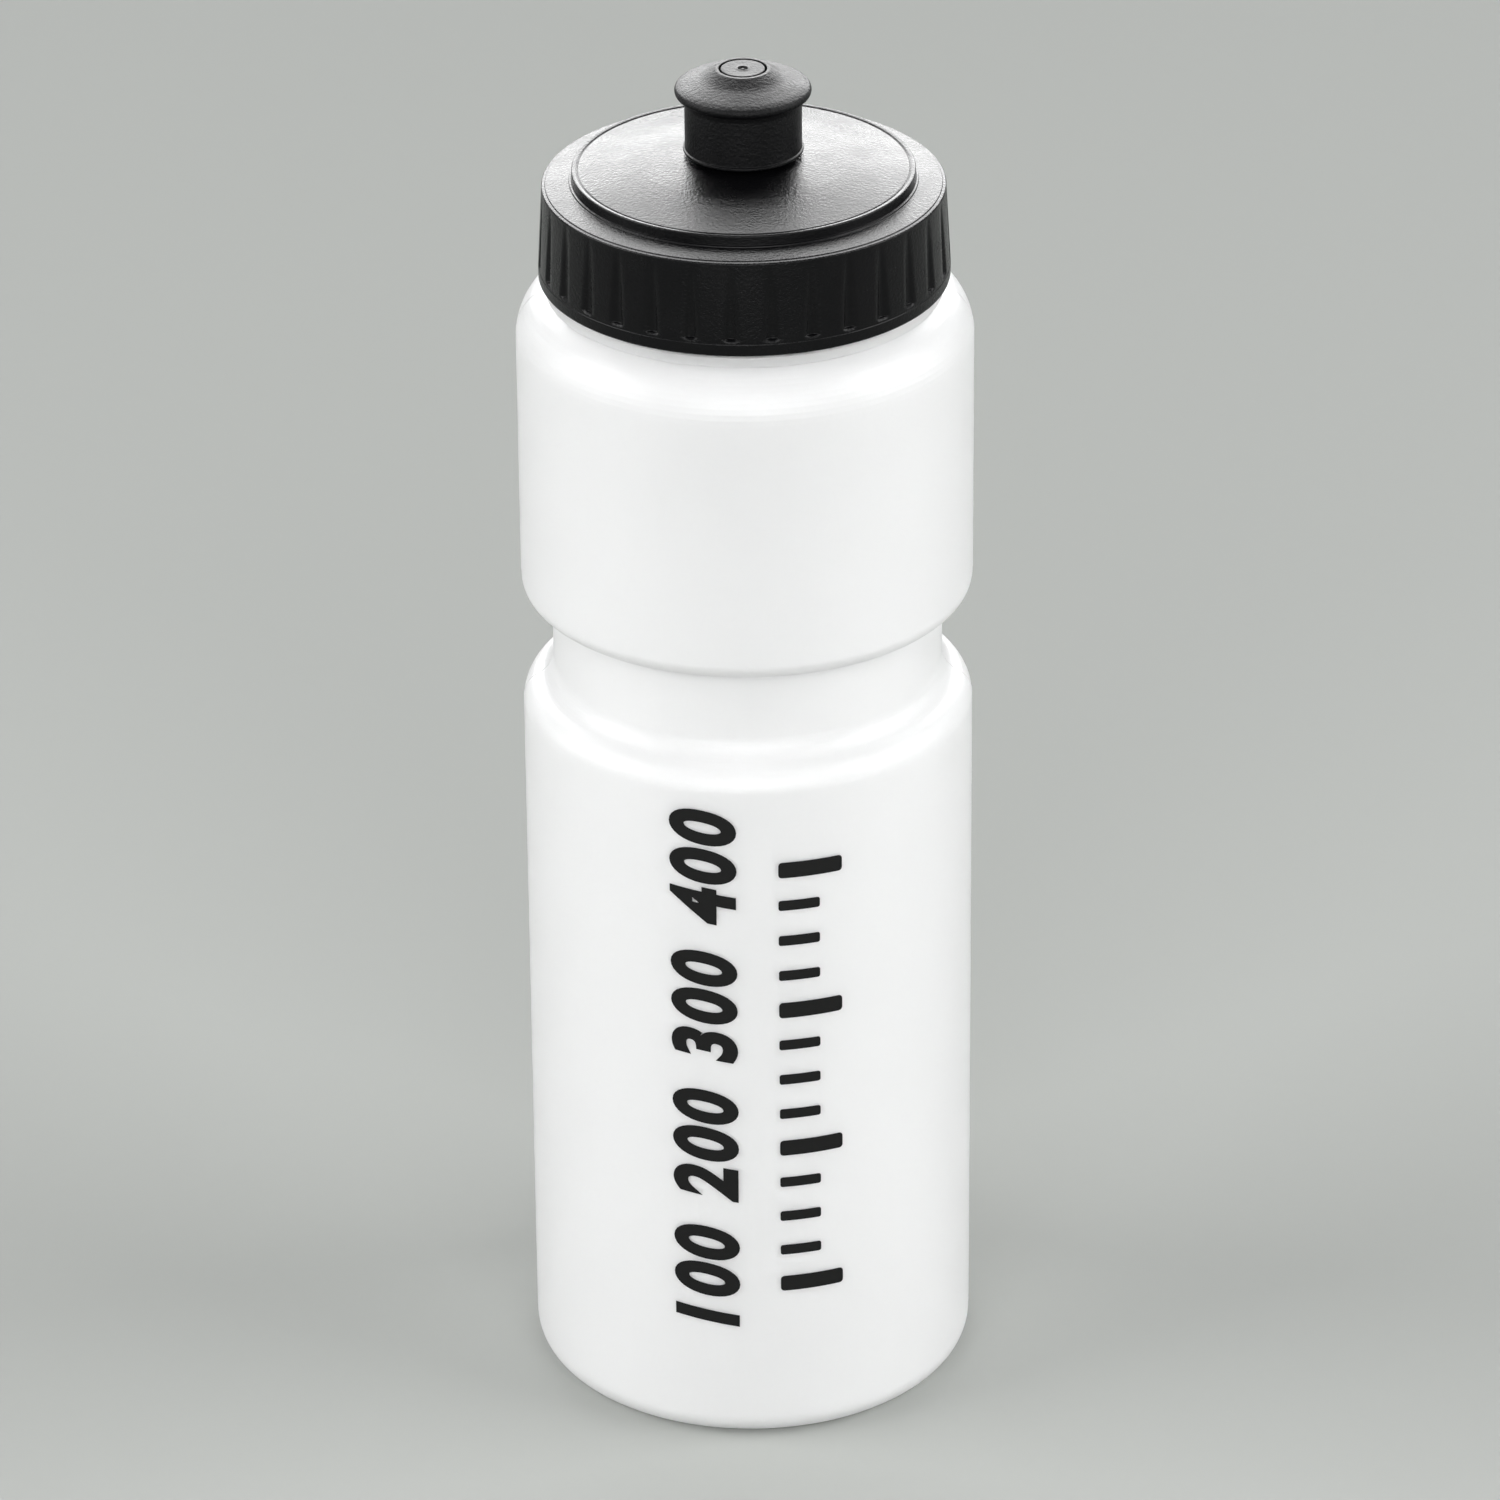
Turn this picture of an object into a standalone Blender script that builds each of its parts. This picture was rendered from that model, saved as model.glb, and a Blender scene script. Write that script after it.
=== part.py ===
"""Sports squeeze bottle with a screw cap and a push-pull drinking valve.

Four mouldings, each its own object: the squeezable bottle, the sealing ring inside the cap, the
screw cap with its chimney and centre pin, and the valve that slides on the chimney. The bottle
stands on z = 0 with its axis along Z, and every moving piece has its origin on that axis. The
valve is pushed down (closed) and the cap is screwed home.

Outlines are written in millimetres as (radius, height, fillet radius) corners.
"""

import math

import bmesh
import bpy
from mathutils import Matrix, Vector

MM = 0.001
COLLECTION_NAME = "sports_squeeze_bottle"

# Driving dimensions, in millimetres.
TOTAL_HEIGHT = 230.3
BODY_RADIUS = 36.45
WAIST_RADIUS = 31.5
BODY_WALL = 1.2
BASE_FILLET = 5.0
LOWER_LOBE_TOP = 123.1
UPPER_LOBE_BOTTOM = 141.15
SHOULDER_CORNER = 189.8

NECK_RADIUS = 29.2
NECK_RING_RADIUS = 31.5
NECK_RING_TOP = 194.9
NECK_RIM = 207.9

THREAD_PITCH = 4.0
THREAD_TURNS = 1.0
BOTTLE_THREAD_START = 199.9
THREAD_RIDGE_RADIUS = 0.88

CAP_BOTTOM = 195.5
CAP_RADIUS = 32.7
CAP_DRAFT = 0.75
CAP_TOP_EDGE = 211.0
CAP_BORE = 30.9
CAP_PLATE_UNDERSIDE = 209.6
PLATEAU_RADIUS = 27.15
PLATEAU_RIM = 213.6
PLATEAU_CENTRE = 216.2

GRIP_FLUTES = 32
FLUTE_CUTTER_RADIUS = 1.6
FLUTE_DEPTH = 0.5
FLUTE_BOTTOM = CAP_BOTTOM + 2.4
FLUTE_PHASE = math.radians(-90.0 - 3.8)

CHIMNEY_RADIUS = 7.3
CHIMNEY_BORE = 5.8
CHIMNEY_TOP = 226.3
CHIMNEY_BEAD = 7.9
PIN_RADIUS = 3.5
PIN_RIBS = 3

VALVE_BOTTOM = 216.7
VALVE_RADIUS = 9.25
VALVE_BORE = 8.2
VALVE_SNAP_BORE = 7.6
VALVE_HOLE = 3.8
VALVE_LIP = 0.55
FLANGE_RADIUS = 11.2
FLANGE_HEIGHT = 227.1

SEAL_THICKNESS = 1.1
SMALL_GAP = 0.3

SEGMENTS = 64
VALVE_SEGMENTS = 48
ARC_STEP = math.radians(31.0)
RIDGE_STEP = math.radians(15.0)
MERGE_DISTANCE = 0.00001


def clear_scene():
    for obj in list(bpy.data.objects):
        bpy.data.objects.remove(obj, do_unlink=True)


def new_collection(name):
    collection = bpy.data.collections.new(name)
    bpy.context.scene.collection.children.link(collection)
    return collection


def plastic(name, colour, roughness, alpha=1.0):
    material = bpy.data.materials.new(name)
    material.use_nodes = True
    shader = material.node_tree.nodes["Principled BSDF"]
    shader.inputs["Base Color"].default_value = (*colour, 1.0)
    shader.inputs["Roughness"].default_value = roughness
    shader.inputs["Metallic"].default_value = 0.0
    shader.inputs["Alpha"].default_value = alpha
    return material


# Outlines


def rounded(corners):
    """Points through (radius, height, fillet) corners, each fillet drawn as an arc of chords."""
    points = []
    for index, (radius, height, fillet) in enumerate(corners):
        corner = Vector((radius, height))
        if fillet == 0:
            points.append(corner)
            continue
        before = Vector(corners[index - 1][:2])
        after = Vector(corners[(index + 1) % len(corners)][:2])
        towards = (before - corner).normalized()
        away = (after - corner).normalized()
        turn = math.pi - towards.angle(away)
        reach = fillet * math.tan(turn / 2)
        inwards = (towards + away).normalized()
        centre = corner + inwards * (fillet / math.cos(turn / 2))
        first = (corner + towards * reach - centre).normalized()
        last = (corner + away * reach - centre).normalized()
        chords = math.ceil(turn / ARC_STEP)
        for step in range(chords + 1):
            points.append(centre + fillet * first.slerp(last, step / chords))
    return points


def turned(name, corners, material, collection, closed=True, segments=SEGMENTS):
    """A solid of revolution about Z, from an outline that runs down its outer side."""
    outline = rounded(corners)
    mesh = bpy.data.meshes.new(name)
    edges = [(index, index + 1) for index in range(len(outline) - 1)]
    if closed:
        edges.append((len(outline) - 1, 0))
    mesh.from_pydata([(point.x * MM, 0.0, point.y * MM) for point in outline], edges, [])
    obj = bpy.data.objects.new(name, mesh)
    collection.objects.link(obj)
    mesh.materials.append(material)
    turn = obj.modifiers.new("turn", "SCREW")
    turn.axis = "Z"
    turn.angle = math.tau
    turn.steps = segments
    turn.render_steps = segments
    turn.use_merge_vertices = True
    turn.merge_threshold = MERGE_DISTANCE
    turn.use_smooth_shade = True
    return obj


# Helpers that cut into or add to a piece


def helper_mesh(name, mesh, helpers):
    obj = bpy.data.objects.new(name, mesh)
    helpers.objects.link(obj)
    obj.hide_render = True
    obj.display_type = "WIRE"
    return obj


def boolean(obj, helper, operation):
    change = obj.modifiers.new(f"{operation.lower()} {helper.name}", "BOOLEAN")
    change.operation = operation
    change.solver = "EXACT"
    change.object = helper


def thread_ridge(name, radius, start_height, start_turn, helpers):
    """One right-hand helical ridge of round section, thinning to a point at both ends."""
    curve = bpy.data.curves.new(name, "CURVE")
    curve.dimensions = "3D"
    curve.bevel_depth = THREAD_RIDGE_RADIUS * MM
    curve.bevel_resolution = 2
    curve.use_fill_caps = True
    spline = curve.splines.new("POLY")
    count = round(THREAD_TURNS * math.tau / RIDGE_STEP) + 1
    spline.points.add(count - 1)
    for index, point in enumerate(spline.points):
        turn = THREAD_TURNS * index / (count - 1)
        angle = (start_turn + turn) * math.tau
        height = start_height + THREAD_PITCH * turn
        x = radius * math.cos(angle) * MM
        y = radius * math.sin(angle) * MM
        point.co = (x, y, height * MM, 1.0)
        from_end = min(index, count - 1 - index)
        point.radius = min(1.0, 0.45 + 0.2 * from_end)
    guide = bpy.data.objects.new(f"{name}_guide", curve)
    bpy.context.scene.collection.objects.link(guide)
    graph = bpy.context.evaluated_depsgraph_get()
    mesh = bpy.data.meshes.new_from_object(guide.evaluated_get(graph))
    bpy.data.objects.remove(guide, do_unlink=True)
    weld(mesh)
    return helper_mesh(name, mesh, helpers)


def weld(mesh):
    shape = bmesh.new()
    shape.from_mesh(mesh)
    bmesh.ops.remove_doubles(shape, verts=shape.verts, dist=MERGE_DISTANCE)
    bmesh.ops.recalc_face_normals(shape, faces=shape.faces)
    shape.to_mesh(mesh)
    shape.free()


def flute_cutters(helpers):
    """Slim cylinders round the skirt, each leaning outwards so its flute fades away upwards."""
    length = CAP_TOP_EDGE - FLUTE_BOTTOM
    lean = math.atan2(FLUTE_DEPTH - CAP_DRAFT - 0.05, length)
    shape = bmesh.new()
    for index in range(GRIP_FLUTES):
        angle = FLUTE_PHASE + index * math.tau / GRIP_FLUTES
        foot = CAP_RADIUS - FLUTE_DEPTH + FLUTE_CUTTER_RADIUS
        place = (
            Matrix.Rotation(angle, 4, "Z")
            @ Matrix.Translation((foot * MM, 0.0, FLUTE_BOTTOM * MM))
            @ Matrix.Rotation(lean, 4, "Y")
            @ Matrix.Translation((0.0, 0.0, length / 2 * MM))
        )
        bmesh.ops.create_cone(
            shape,
            cap_ends=True,
            segments=10,
            radius1=FLUTE_CUTTER_RADIUS * MM,
            radius2=FLUTE_CUTTER_RADIUS * MM,
            depth=length * MM,
            matrix=place,
        )
    mesh = bpy.data.meshes.new("flute_cutters")
    shape.to_mesh(mesh)
    shape.free()
    return helper_mesh("flute_cutters", mesh, helpers)


def pin_post(helpers):
    """The post in the middle of the chimney, whose tip plugs the valve's drinking hole."""
    foot = PLATEAU_CENTRE - 1.0
    height = TOTAL_HEIGHT - foot
    shape = bmesh.new()
    bmesh.ops.create_cone(
        shape,
        cap_ends=True,
        segments=32,
        radius1=PIN_RADIUS * MM,
        radius2=PIN_RADIUS * MM,
        depth=height * MM,
        matrix=Matrix.Translation((0.0, 0.0, (foot + height / 2) * MM)),
    )
    mesh = bpy.data.meshes.new("pin_post")
    shape.to_mesh(mesh)
    shape.free()
    return helper_mesh("pin_post", mesh, helpers)


def pin_rib(index, helpers):
    """One radial web that carries the centre post from the chimney's wall."""
    inner = PIN_RADIUS - 0.6
    outer = CHIMNEY_BORE + 0.5
    width = 1.3
    low = PLATEAU_CENTRE - 0.5
    high = low + 6.6
    shape = bmesh.new()
    size = Matrix.Diagonal(((outer - inner) * MM, width * MM, (high - low) * MM, 1.0))
    centre = Vector(((outer + inner) / 2, 0.0, (high + low) / 2)) * MM
    turn = Matrix.Rotation(math.radians(30.0) + index * math.tau / PIN_RIBS, 4, "Z")
    bmesh.ops.create_cube(shape, size=1.0, matrix=turn @ Matrix.Translation(centre) @ size)
    name = f"pin_rib_{index + 1}"
    mesh = bpy.data.meshes.new(name)
    shape.to_mesh(mesh)
    shape.free()
    return helper_mesh(name, mesh, helpers)


# The pieces


def build_bottle(parts, helpers):
    """Blow-moulded bottle: two lobes with a grip waist between, and a threaded neck."""
    material = plastic("natural_ldpe", (0.90, 0.91, 0.91), 0.38, alpha=0.9)
    waist_low = LOWER_LOBE_TOP + 2.85
    waist_high = UPPER_LOBE_BOTTOM - 0.85
    foot_inner = BODY_RADIUS - BASE_FILLET - 2.4
    corners = [
        (NECK_RADIUS, NECK_RIM, 0),
        (NECK_RADIUS, NECK_RING_TOP, 0),
        (NECK_RING_RADIUS - 0.2, NECK_RING_TOP, 0),
        (NECK_RING_RADIUS, SHOULDER_CORNER + 4.1, 0),
        (BODY_RADIUS, SHOULDER_CORNER, 8.5),
        (BODY_RADIUS, UPPER_LOBE_BOTTOM, 2.8),
        (WAIST_RADIUS, waist_high, 2.0),
        (WAIST_RADIUS, waist_low, 5.0),
        (BODY_RADIUS, LOWER_LOBE_TOP, 4.4),
        (BODY_RADIUS, 0.0, BASE_FILLET),
        (foot_inner, 0.0, 0),
        (foot_inner - 1.4, 1.6, 0),
        (9.0, 4.2, 6.0),
        (0.0, 4.2, 0),
    ]
    bottle = turned("bottle_body", corners, material, parts, closed=False)
    wall = bottle.modifiers.new("wall", "SOLIDIFY")
    wall.thickness = BODY_WALL * MM
    wall.offset = -1.0
    wall.use_even_offset = True
    ridge = thread_ridge("bottle_thread", NECK_RADIUS + 0.3, BOTTLE_THREAD_START, 0.0, helpers)
    boolean(bottle, ridge, "UNION")
    return bottle


def build_seal(parts):
    """Flat ring that the bottle's rim presses against the underside of the cap."""
    material = plastic("seal_elastomer", (0.80, 0.80, 0.78), 0.6)
    low = NECK_RIM + SMALL_GAP
    high = low + SEAL_THICKNESS
    inner = NECK_RADIUS - BODY_WALL - 0.4
    outer = CAP_BORE - 0.4
    corners = [(inner, high, 0), (outer, high, 0), (outer, low, 0), (inner, low, 0)]
    return turned("cap_seal", corners, material, parts)


def build_cap(parts, helpers):
    """Screw cap: fluted skirt, stepped top plate, chimney with a snap bead, and centre pin."""
    material = plastic("black_polypropylene", (0.012, 0.012, 0.013), 0.4)
    plateau_foot = VALVE_RADIUS + 0.6
    recess = PLATEAU_RADIUS - 1.6
    corners = [
        (CHIMNEY_BORE, CHIMNEY_TOP, 0),
        (CHIMNEY_RADIUS, CHIMNEY_TOP, 0),
        (CHIMNEY_BEAD, CHIMNEY_TOP - 0.7, 0),
        (CHIMNEY_BEAD, CHIMNEY_TOP - 1.1, 0),
        (CHIMNEY_RADIUS, CHIMNEY_TOP - 1.5, 0),
        (CHIMNEY_RADIUS, PLATEAU_CENTRE, 0),
        (plateau_foot, PLATEAU_CENTRE - 0.1, 0),
        (PLATEAU_RADIUS - 0.8, PLATEAU_RIM - 0.35, 0),
        (PLATEAU_RADIUS - 0.6, PLATEAU_RIM, 0),
        (PLATEAU_RADIUS, PLATEAU_RIM, 0.25),
        (PLATEAU_RADIUS, CAP_TOP_EDGE + 0.3, 0),
        (PLATEAU_RADIUS + 0.5, CAP_TOP_EDGE + 0.7, 0.3),
        (CAP_RADIUS - CAP_DRAFT, CAP_TOP_EDGE, 1.0),
        (CAP_RADIUS - 0.15, FLUTE_BOTTOM - 0.3, 0),
        (CAP_RADIUS, FLUTE_BOTTOM - 0.5, 0),
        (CAP_RADIUS, CAP_BOTTOM, 0.3),
        (CAP_BORE, CAP_BOTTOM, 0.3),
        (CAP_BORE, CAP_PLATE_UNDERSIDE, 0),
        (recess, CAP_PLATE_UNDERSIDE, 0),
        (recess, PLATEAU_RIM - 2.0, 1.0),
        (CHIMNEY_BORE, PLATEAU_CENTRE - 2.1, 0),
    ]
    cap = turned("screw_cap", corners, material, parts)
    boolean(cap, flute_cutters(helpers), "DIFFERENCE")
    half_pitch_lower = BOTTLE_THREAD_START - THREAD_PITCH / 2
    ridge = thread_ridge("cap_thread", CAP_BORE - 0.3, half_pitch_lower + 0.2, 0.05, helpers)
    boolean(cap, ridge, "UNION")
    boolean(cap, pin_post(helpers), "UNION")
    for index in range(PIN_RIBS):
        boolean(cap, pin_rib(index, helpers), "UNION")
    return cap


def build_valve(parts):
    """Push-pull valve: a sleeve on the chimney with a finger flange round its drinking hole."""
    material = plastic("black_polyethylene", (0.012, 0.012, 0.013), 0.35)
    roof = FLANGE_HEIGHT + 0.2
    corners = [
        (VALVE_HOLE, TOTAL_HEIGHT, 0),
        (VALVE_HOLE + VALVE_LIP, TOTAL_HEIGHT, 0.25),
        (6.4, FLANGE_HEIGHT + 1.85, 5.0),
        (9.7, FLANGE_HEIGHT + 0.75, 3.0),
        (FLANGE_RADIUS, FLANGE_HEIGHT + 0.05, 0.9),
        (FLANGE_RADIUS - 0.3, FLANGE_HEIGHT - 0.95, 0.5),
        (VALVE_RADIUS + 0.2, FLANGE_HEIGHT - 1.5, 0.45),
        (VALVE_RADIUS, FLANGE_HEIGHT - 2.4, 0.5),
        (VALVE_RADIUS, VALVE_BOTTOM + 0.8, 0),
        (VALVE_RADIUS + 0.25, VALVE_BOTTOM + 0.5, 0),
        (VALVE_RADIUS + 0.25, VALVE_BOTTOM, 0),
        (VALVE_SNAP_BORE, VALVE_BOTTOM, 0),
        (VALVE_SNAP_BORE, VALVE_BOTTOM + 0.9, 0),
        (VALVE_BORE, VALVE_BOTTOM + 1.4, 0),
        (VALVE_BORE, roof, 0),
        (VALVE_HOLE, roof, 0),
    ]
    return turned("push_pull_valve", corners, material, parts, segments=VALVE_SEGMENTS)


def main():
    clear_scene()
    parts = new_collection(COLLECTION_NAME)
    helpers = new_collection("helpers")
    helpers.hide_render = True
    build_bottle(parts, helpers)
    build_seal(parts)
    build_cap(parts, helpers)
    build_valve(parts)


main()
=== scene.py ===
"""Looks of the sports squeeze bottle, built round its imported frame."""

import math

import bmesh
import bpy
from bpy.props import FloatProperty, FloatVectorProperty, IntProperty, PointerProperty
from bpy.types import Operator, Panel, PropertyGroup
from mathutils import Matrix, Vector


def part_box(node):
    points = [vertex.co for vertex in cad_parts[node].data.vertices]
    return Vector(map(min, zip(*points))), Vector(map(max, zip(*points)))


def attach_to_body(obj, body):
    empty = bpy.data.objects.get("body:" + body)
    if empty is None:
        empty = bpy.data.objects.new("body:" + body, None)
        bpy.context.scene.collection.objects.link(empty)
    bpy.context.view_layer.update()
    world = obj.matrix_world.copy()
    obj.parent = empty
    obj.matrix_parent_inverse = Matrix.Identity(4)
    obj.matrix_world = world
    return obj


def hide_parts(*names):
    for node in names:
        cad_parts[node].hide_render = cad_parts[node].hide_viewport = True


bl_info = {
    "name": "Squeeze Bottle",
    "version": (1, 0, 0),
    "blender": (4, 5, 0),
    "location": "3D View > Sidebar > Bottle",
    "description": "Builds a translucent squeeze bottle with a screw cap and a push-pull valve",
    "category": "Add Mesh",
}

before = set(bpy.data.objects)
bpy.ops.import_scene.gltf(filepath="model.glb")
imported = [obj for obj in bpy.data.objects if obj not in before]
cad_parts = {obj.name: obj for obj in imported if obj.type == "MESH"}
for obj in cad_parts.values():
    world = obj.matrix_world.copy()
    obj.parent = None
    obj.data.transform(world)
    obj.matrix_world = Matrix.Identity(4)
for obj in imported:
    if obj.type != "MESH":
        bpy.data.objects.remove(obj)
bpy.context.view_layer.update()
BOTTLE_LOW, BOTTLE_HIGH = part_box("bottle_body")
CAP_LOW, CAP_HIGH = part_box("screw_cap")
VALVE_LOW, VALVE_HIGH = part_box("push_pull_valve")
SEAL_LOW, SEAL_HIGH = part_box("cap_seal")

MM = 0.001

# Fineness of the meshes; lengths in millimetres but for the merge distance, in metres.
ARC_STEP = math.radians(7.0)
CAP_ARC_STEP = math.radians(12.0)
MERGE_DISTANCE = 1e-6
SUPPORT_LOOP = 0.12
LONGEST_RUN = 20.0
LONGEST_CAP_RUN = 3.0
LIP_STEPS = 8
THREAD_STEPS = 96
THREAD_SECTION_POINTS = 16
TICK_CORNER_POINTS = 4
NUMERAL_RESOLUTION = 8
FLOOR_SEGMENTS = 96

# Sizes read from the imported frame, in millimetres.
LOBE_RADIUS = BOTTLE_HIGH.x / MM
NECK_RIM = BOTTLE_HIGH.z / MM
CAP_SKIRT_RADIUS = CAP_HIGH.x / MM
CAP_SKIRT_LOW = CAP_LOW.z / MM
PIN_TOP = CAP_HIGH.z / MM
VALVE_TOP = VALVE_HIGH.z / MM
VALVE_FOOT = VALVE_LOW.z / MM
FLANGE_RADIUS = VALVE_HIGH.x / MM
SEAL_RADIUS = SEAL_HIGH.x / MM
SEAL_FOOT = SEAL_LOW.z / MM
SEAL_TOP = SEAL_HIGH.z / MM

# Bottle, in millimetres above the foot.
WALL = 1.2
BASE_FILLET = 5.0
FOOT_RING_WIDTH = 2.4
BASE_PANEL_RADIUS = 9.0
BASE_PANEL_HEIGHT = 4.2
LOWER_LOBE_TOP = 123.1
LOWER_LOBE_FILLET = 4.4
WAIST_FOOT_RISE = 2.85
WAIST_FOOT_FILLET = 5.0
WAIST_HEAD_DROP = 0.85
WAIST_HEAD_FILLET = 2.0
UPPER_LOBE_BOTTOM = 141.15
UPPER_LOBE_FILLET = 2.8
SHOULDER_CORNER = 189.8
SHOULDER_FILLET = 8.5
NECK_RADIUS = 29.2
NECK_RING_RADIUS = 31.5
NECK_RING_TOP = 194.9
NECK_RING_FOOT = 193.35
PARTING_LINE_RADIUS = 0.07
PARTING_LINE_DROP = 1.2

# Threads, in millimetres and turns; the run-out is a share of the length.
BOTTLE_THREAD_START = 199.9
THREAD_RIDGE_RADIUS = 0.88
THREAD_TURNS = 1.0
THREAD_RUN_OUT = 0.07
THREAD_END_SHARE = 0.25
THREAD_SEAT = 0.3
CAP_THREAD_LIFT = 0.2
CAP_THREAD_TURN = 0.05

# Cap, in millimetres; heights are above the skirt's lower edge.
SKIRT_HEIGHT = 15.5
SKIRT_DRAFT = 0.75
RIM_HEIGHT = 18.1
PLATEAU_HEIGHT = 20.7
PLATE_UNDERSIDE = 14.1
CHIMNEY_HEIGHT = 30.8
PLATEAU_RADIUS = 27.15
CAP_BORE = 30.9
CHIMNEY_RADIUS = 7.3
CHIMNEY_BORE = 5.8
CHIMNEY_BEAD = 0.6
STEP_WALL = 1.6
FLUTED_BAND_INSET = 0.06
PIN_RADIUS = 3.5
PIN_FOOT_DROP = 2.2
FLUTE_FOOT = 2.4
FLUTE_HEAD = 14.6
FLUTE_WIDTH_LOW = 2.3
FLUTE_WIDTH_HIGH = 0.9
FLUTE_PHASE = math.radians(-90.0 - 3.8)
LEDGE_RISE = 0.4
LEDGE_ROWS = (1.3, 1.0, 0.96, 0.84, 0.64, 0.36, 0.15)
WEB_COUNT = 3
WEB_WIDTH = 1.3
WEB_HEIGHT = 6.6
WEB_PHASE = math.radians(30.0)
WEB_SEAT = 0.4
WEB_FOOT_DROP = 0.5
WEB_EDGE = 0.15

# Valve and seal, in millimetres.
FLANGE_DROP = 3.2
VALVE_SLEEVE_RADIUS = 9.25
VALVE_BORE = 8.2
VALVE_SNAP_BORE = 7.6
VALVE_HOLE = 3.8
VALVE_LIP = 0.55
VALVE_ROOF_RISE = 0.2
VALVE_FOOT_BEAD = 0.28
SEAL_WIDTH = 2.9
SEAL_GROOVE_HALF_WIDTH = 0.6
SEAL_GROOVE_DEPTH = 0.12

# Printed scale, in millimetres; x runs to the right across the front.
SCALE_ZERO = 4.5
NUMERAL_FOOT = 0.0
NUMERAL_BOLDNESS = 0.042
NUMERAL_CONDENSED = 0.84
NUMERAL_SLANT = 0.18
NUMERAL_SPACING = 1.18
TICK_LEFT = 4.6
TICK_LONG = 10.6
TICK_SHORT = 6.8
TICK_LONG_BAR = 2.8
TICK_SHORT_BAR = 1.8
TICK_CORNER_SHARE = 0.22
INK_CLEARANCE = 0.015
INK_THICKNESS = 0.05
INK_SHARP_ANGLE = math.radians(30.0)
WRAP_STRIP = 1.2

# Grain of each finish, in millimetres.
FLOW_PATCH = 18.0
SKIN_RIPPLE = 1.2
MOULD_GRAIN = 0.5
SCUFF = 6.0
INK_WEAVE = 0.8
SEAL_HAZE = 2.0
FLOOR_TOOTH = 4.0

# Stage, in metres and watts; the lens and sensor are in millimetres.
FLOOR_RADIUS = 14.0
AIM_POINT = Vector((0.00024, 0.0, 0.110))
CAMERA_DISTANCE = 1.308
CAMERA_ELEVATION = math.radians(27.4)
CAMERA_LENS = 192.0
CAMERA_ROLL = math.radians(-0.48)
CAMERA_SENSOR = 36.0
HORIZON_STRENGTH = 0.72
ZENITH_STRENGTH = 0.12
# Name, place, width, depth, power, and whether it lights matt surfaces or only shows in gloss.
SOFTBOXES = (
    ("back_softbox", (0.0, 2.6, 2.2), 4.4, 4.4, 600.0, False),
    ("left_softbox", (-2.4, -0.4, 1.3), 2.0, 2.0, 66.0, True),
    ("right_softbox", (2.4, -0.4, 1.3), 2.0, 2.0, 68.0, True),
    ("front_softbox", (0.0, -2.9, 1.2), 3.0, 2.0, 76.0, True),
    ("top_softbox", (0.0, 0.9, 2.4), 1.3, 0.9, 9.0, True),
)


# Colours and materials


def linear(hex_colour):
    """An sRGB hex colour as linear red, green and blue."""
    values = [int(hex_colour[place : place + 2], 16) / 255 for place in (1, 3, 5)]
    return tuple(v / 12.92 if v <= 0.04045 else ((v + 0.055) / 1.055) ** 2.4 for v in values)


def add_node(tree, kind, inputs=None, **settings):
    """One node, its settings, and its inputs given as values or as sockets to link from."""
    node = tree.nodes.new(kind)
    for key, value in settings.items():
        setattr(node, key, value)
    for key, value in (inputs or {}).items():
        if isinstance(value, bpy.types.NodeSocket):
            tree.links.new(value, node.inputs[key])
        else:
            node.inputs[key].default_value = value
    return node


def new_material(name):
    """A material with one Principled shader, and the object coordinates its patterns use."""
    material = bpy.data.materials.new(name)
    material.use_nodes = True
    tree = material.node_tree
    tree.nodes.clear()
    shader = add_node(tree, "ShaderNodeBsdfPrincipled")
    output = add_node(tree, "ShaderNodeOutputMaterial")
    tree.links.new(shader.outputs["BSDF"], output.inputs["Surface"])
    place = add_node(tree, "ShaderNodeTexCoord")
    return material, tree, shader, place.outputs["Object"]


def ldpe_material(settings):
    """Natural low-density polyethylene, blow moulded: milky, with a soft uneven gloss.

    Light spreads a few millimetres inside the wall, and the flow of the parison leaves broad
    patches of gloss and a faint ripple in the skin.
    """
    material, tree, shader, place = new_material("natural_ldpe_blow_moulded")
    shader.inputs["Base Color"].default_value = (*settings.bottle_colour, 1.0)
    shader.inputs["IOR"].default_value = 1.51
    shader.inputs["Specular IOR Level"].default_value = 0.3
    shader.inputs["Transmission Weight"].default_value = 0.4
    shader.inputs["Subsurface Weight"].default_value = 1.0
    shader.inputs["Subsurface Radius"].default_value = (1.0, 1.0, 1.0)
    shader.inputs["Subsurface Scale"].default_value = 0.003
    flow = add_node(
        tree,
        "ShaderNodeTexNoise",
        {"Vector": place, "Scale": 1 / (FLOW_PATCH * MM), "Detail": 3.0, "Roughness": 0.5},
    )
    rough = add_node(
        tree,
        "ShaderNodeMapRange",
        {"Value": flow.outputs["Fac"], "To Min": 0.3, "To Max": 0.38},
    )
    tree.links.new(rough.outputs["Result"], shader.inputs["Roughness"])
    skin = add_node(
        tree,
        "ShaderNodeTexNoise",
        {"Vector": place, "Scale": 1 / (SKIN_RIPPLE * MM), "Detail": 2.0, "Roughness": 0.6},
    )
    bump = add_node(
        tree,
        "ShaderNodeBump",
        {"Height": skin.outputs["Fac"], "Strength": 0.12, "Distance": 0.0001},
    )
    tree.links.new(bump.outputs["Normal"], shader.inputs["Normal"])
    return material


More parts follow.
